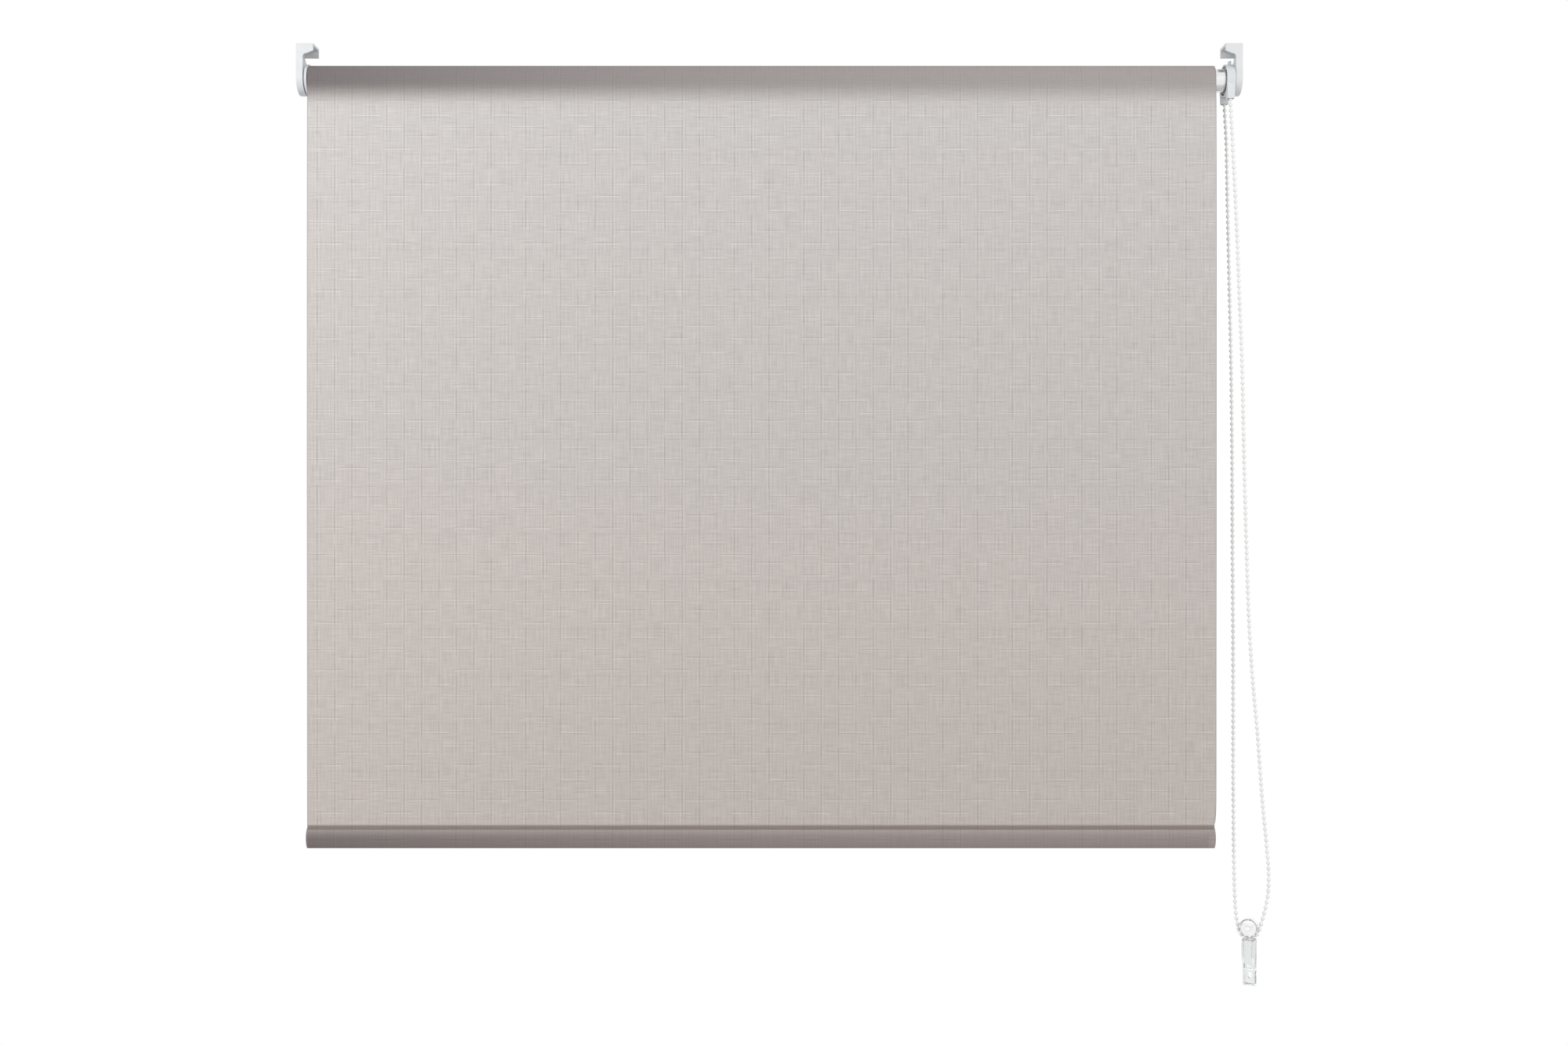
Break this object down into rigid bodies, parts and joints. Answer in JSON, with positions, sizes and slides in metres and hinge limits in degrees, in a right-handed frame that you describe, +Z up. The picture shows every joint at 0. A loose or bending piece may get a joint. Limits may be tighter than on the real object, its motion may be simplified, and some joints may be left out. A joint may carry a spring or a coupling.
{
  "type": "blackout roller blind",
  "caption": "Chain-operated blackout roller blind on hook-over brackets, with a sidewinder, a weighted hem bar and a chain tensioner.",
  "frame": {"origin": "middle of the left bracket's hook seat, the flat underside that rests on what carries it", "axes": "+Z up, +X to the right along the roller as seen from the room, +Y from the room to the wall"},
  "size_m": [1.0324, 0.0365, 0.9998],
  "materials": {
    "white_plastic": "satin moulded",
    "grey_plastic": "matt moulded",
    "steel": "drawn and tempered",
    "tube_aluminium": "bright rolled",
    "bar_aluminium": "mill extruded",
    "blackout_fabric": "coated slub weave",
    "chain_plastic": "glossy moulded",
    "clear_plastic": "clear moulded"
  },
  "bodies": {
    "brackets": {"left_bracket": "white_plastic", "right_bracket": "white_plastic", "winder_base": "white_plastic", "chain_guard": "white_plastic", "retaining_washer": "steel", "retaining_screw": "steel", "chain_on_wheel": "chain_plastic", "chain_loop": "chain_plastic", "fabric_drop": "blackout_fabric"},
    "roller": {"roller_tube": "tube_aluminium", "fabric_roll": "blackout_fabric", "idle_plug": "white_plastic", "plug_cap": "grey_plastic", "idle_spring": "steel", "chain_wheel": "grey_plastic", "drive_crown": "grey_plastic", "wrap_spring_inner": "steel", "wrap_spring_outer": "steel"},
    "end_pin": {"idle_pin": "steel"},
    "hem": {"hem_pocket": "blackout_fabric", "bottom_bar": "bar_aluminium"},
    "tensioner_carriage": {"tensioner_slider": "clear_plastic", "tensioner_axle": "clear_plastic"},
    "guide_pulley": {"tensioner_pulley": "clear_plastic"},
    "tensioner_shell": {"tensioner_body": "clear_plastic"}
  },
  "joints": [
    {"name": "roller_turn", "type": "hinge", "parent": "brackets", "child": "roller", "pos_m": [0.491, 0.004, -0.0335], "axis": [-1, 0, 0], "range_deg": [-1930, 2820], "deforming": ["chain_on_wheel"]},
    {"name": "bar_lift", "type": "slide", "parent": "brackets", "child": "hem", "axis": [0, 0, 1], "range_m": [-0.51625, 0.75566], "deforming": ["fabric_drop"]},
    {"name": "idle_pin_slide", "type": "slide", "parent": "roller", "child": "end_pin", "axis": [1, 0, 0], "range_m": [0, 0.0065], "stiffness_N_per_m": 300, "springref_m": -0.004, "deforming": ["idle_spring"]},
    {"name": "tensioner_swing", "type": "hinge", "parent": "brackets", "child": "tensioner_carriage", "pos_m": [1.0015, 0.004, -0.9355], "axis": [0.4695, 0.8829, 0], "range_deg": [-20, 20]},
    {"name": "tensioner_stretch", "type": "slide", "parent": "tensioner_carriage", "child": "tensioner_shell", "axis": [0, 0, -1], "range_m": [0, 0.008]},
    {"name": "pulley_turn", "type": "hinge", "parent": "tensioner_carriage", "child": "guide_pulley", "pos_m": [1.0015, 0.004, -0.9355], "axis": [-0.4695, -0.8829, 0], "range_deg": [-2300, 3350]}
  ],
  "couplings": [
    {"joint": "roller_turn", "follows": "bar_lift", "rad_per_m": 64.6},
    {"joint": "pulley_turn", "follows": "bar_lift", "rad_per_m": 76.345}
  ]
}
